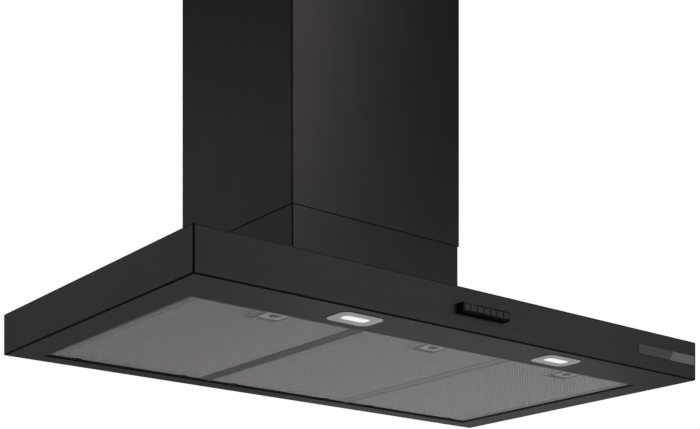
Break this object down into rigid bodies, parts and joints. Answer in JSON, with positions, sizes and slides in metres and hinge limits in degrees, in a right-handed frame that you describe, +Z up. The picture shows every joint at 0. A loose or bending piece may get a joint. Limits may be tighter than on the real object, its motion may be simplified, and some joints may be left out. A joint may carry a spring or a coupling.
{
  "type": "wall chimney range hood",
  "caption": "Flat box chimney hood for a kitchen wall: slim dark canopy, hinged mesh filters, lamps, push buttons, sliding chimney sleeve, fan and duct collar.",
  "frame": {"origin": "centre of the canopy's wall face, half-way up the canopy", "axes": "+Z up, +Y towards the wall, +X to the right of a person facing the hood"},
  "size_m": [0.898, 0.5104, 0.781],
  "materials": {
    "dark_steel": "dark satin coat over vertically brushed sheet",
    "galvanised": "plain galvanised sheet",
    "filter_frame": "matt rolled aluminium",
    "filter_mesh": "fine pressed mesh",
    "latch_plastic": "grey moulded, fine grain",
    "lamp_bezel": "satin silver",
    "lamp_lens": "frosted",
    "lamp_board": "finned cooling plate with LED chips",
    "black_plastic": "black moulded",
    "button_finish": "dark coated caps",
    "trim_finish": "dark glossy plates, left blank",
    "circuit_board": "printed board with moulded parts",
    "wheel": "zinc plated pressed wheel",
    "motor_steel": "machined and lacquered",
    "capacitor_skin": "white moulded can",
    "flap_plastic": "thin moulded flap",
    "screw_steel": "zinc plated pan heads"
  },
  "bodies": {
    "canopy": {"air_box": "galvanised", "back_panel": "dark_steel", "box_screws": "screw_steel", "button_housing": "black_plastic", "cable_gland": "black_plastic", "canopy_shell": "dark_steel", "capacitor": "capacitor_skin", "collar_plate": "black_plastic", "collar_screws": "screw_steel", "duct_collar": "black_plastic", "electronics_case": "black_plastic", "electronics_lid": "black_plastic", "fan_scroll": "galvanised", "flap_rod": "motor_steel", "hinge_rail": "dark_steel", "inlet_ring_left": "galvanised", "inlet_ring_right": "galvanised", "lamp_left_bezel": "lamp_bezel", "lamp_left_board": "lamp_board", "lamp_left_lens": "lamp_lens", "lamp_right_bezel": "lamp_bezel", "lamp_right_board": "lamp_board", "lamp_right_lens": "lamp_lens", "lower_sleeve": "dark_steel", "motor": "motor_steel", "motor_bracket": "galvanised", "power_board": "circuit_board", "rail_screws": "screw_steel", "sleeve_screws": "screw_steel", "switch_board": "circuit_board", "trim_strip": "trim_finish", "underside_panel": "dark_steel", "wall_plate": "galvanised"},
    "filter_1": {"filter_1_frame": "filter_frame", "filter_1_mesh": "filter_mesh", "filter_1_latch_cup": "latch_plastic"},
    "latch_1": {"filter_1_latch_slider": "latch_plastic"},
    "filter_2": {"filter_2_frame": "filter_frame", "filter_2_mesh": "filter_mesh", "filter_2_latch_cup": "latch_plastic"},
    "latch_2": {"filter_2_latch_slider": "latch_plastic"},
    "filter_3": {"filter_3_frame": "filter_frame", "filter_3_mesh": "filter_mesh", "filter_3_latch_cup": "latch_plastic"},
    "latch_3": {"filter_3_latch_slider": "latch_plastic"},
    "push_button_1": {"button_1": "button_finish"},
    "push_button_2": {"button_2": "button_finish"},
    "push_button_3": {"button_3": "button_finish"},
    "push_button_4": {"button_4": "button_finish"},
    "push_button_5": {"button_5": "button_finish"},
    "push_button_6": {"button_6": "button_finish"},
    "push_button_7": {"button_7": "button_finish"},
    "fan_wheel": {"impeller": "wheel", "motor_shaft": "motor_steel"},
    "damper_front": {"flap_front": "flap_plastic"},
    "damper_rear": {"flap_rear": "flap_plastic"},
    "chimney_top": {"upper_sleeve": "dark_steel", "ceiling_bracket": "galvanised", "bracket_screws": "screw_steel"}
  },
  "joints": [
    {"name": "filter_1_swing", "type": "hinge", "parent": "canopy", "child": "filter_1", "pos_m": [0, -0.037, -0.0239], "axis": [1, 0, 0], "range_deg": [0, 80]},
    {"name": "latch_1_pull", "type": "slide", "parent": "filter_1", "child": "latch_1", "axis": [0, 1, 0], "range_m": [0, 0.006], "stiffness_N_per_m": 250, "springref_m": -0.003},
    {"name": "filter_2_swing", "type": "hinge", "parent": "canopy", "child": "filter_2", "pos_m": [0, -0.037, -0.0239], "axis": [1, 0, 0], "range_deg": [0, 80]},
    {"name": "latch_2_pull", "type": "slide", "parent": "filter_2", "child": "latch_2", "axis": [0, 1, 0], "range_m": [0, 0.006], "stiffness_N_per_m": 250, "springref_m": -0.003},
    {"name": "filter_3_swing", "type": "hinge", "parent": "canopy", "child": "filter_3", "pos_m": [0, -0.037, -0.0239], "axis": [1, 0, 0], "range_deg": [0, 80]},
    {"name": "latch_3_pull", "type": "slide", "parent": "filter_3", "child": "latch_3", "axis": [0, 1, 0], "range_m": [0, 0.006], "stiffness_N_per_m": 250, "springref_m": -0.003},
    {"name": "button_1_press", "type": "slide", "parent": "canopy", "child": "push_button_1", "axis": [0, 1, 0], "range_m": [0, 0.003], "stiffness_N_per_m": 250, "springref_m": -0.002},
    {"name": "button_2_press", "type": "slide", "parent": "canopy", "child": "push_button_2", "axis": [0, 1, 0], "range_m": [0, 0.003], "stiffness_N_per_m": 250, "springref_m": -0.002},
    {"name": "button_3_press", "type": "slide", "parent": "canopy", "child": "push_button_3", "axis": [0, 1, 0], "range_m": [0, 0.003], "stiffness_N_per_m": 250, "springref_m": -0.002},
    {"name": "button_4_press", "type": "slide", "parent": "canopy", "child": "push_button_4", "axis": [0, 1, 0], "range_m": [0, 0.003], "stiffness_N_per_m": 250, "springref_m": -0.002},
    {"name": "button_5_press", "type": "slide", "parent": "canopy", "child": "push_button_5", "axis": [0, 1, 0], "range_m": [0, 0.003], "stiffness_N_per_m": 250, "springref_m": -0.002},
    {"name": "button_6_press", "type": "slide", "parent": "canopy", "child": "push_button_6", "axis": [0, 1, 0], "range_m": [0, 0.003], "stiffness_N_per_m": 250, "springref_m": -0.002},
    {"name": "button_7_press", "type": "slide", "parent": "canopy", "child": "push_button_7", "axis": [0, 1, 0], "range_m": [0, 0.003], "stiffness_N_per_m": 250, "springref_m": -0.002},
    {"name": "fan_spin", "type": "hinge", "parent": "canopy", "child": "fan_wheel", "pos_m": [0, -0.16619, 0.15], "axis": [1, 0, 0], "continuous": true},
    {"name": "damper_front_swing", "type": "hinge", "parent": "canopy", "child": "damper_front", "pos_m": [0, -0.088, 0.311], "axis": [1, 0, 0], "range_deg": [-80, 0]},
    {"name": "damper_rear_swing", "type": "hinge", "parent": "canopy", "child": "damper_rear", "pos_m": [0, -0.088, 0.311], "axis": [1, 0, 0], "range_deg": [0, 80]},
    {"name": "chimney_slide", "type": "slide", "parent": "canopy", "child": "chimney_top", "axis": [0, 0, 1], "range_m": [-0.138, 0.174]}
  ]
}
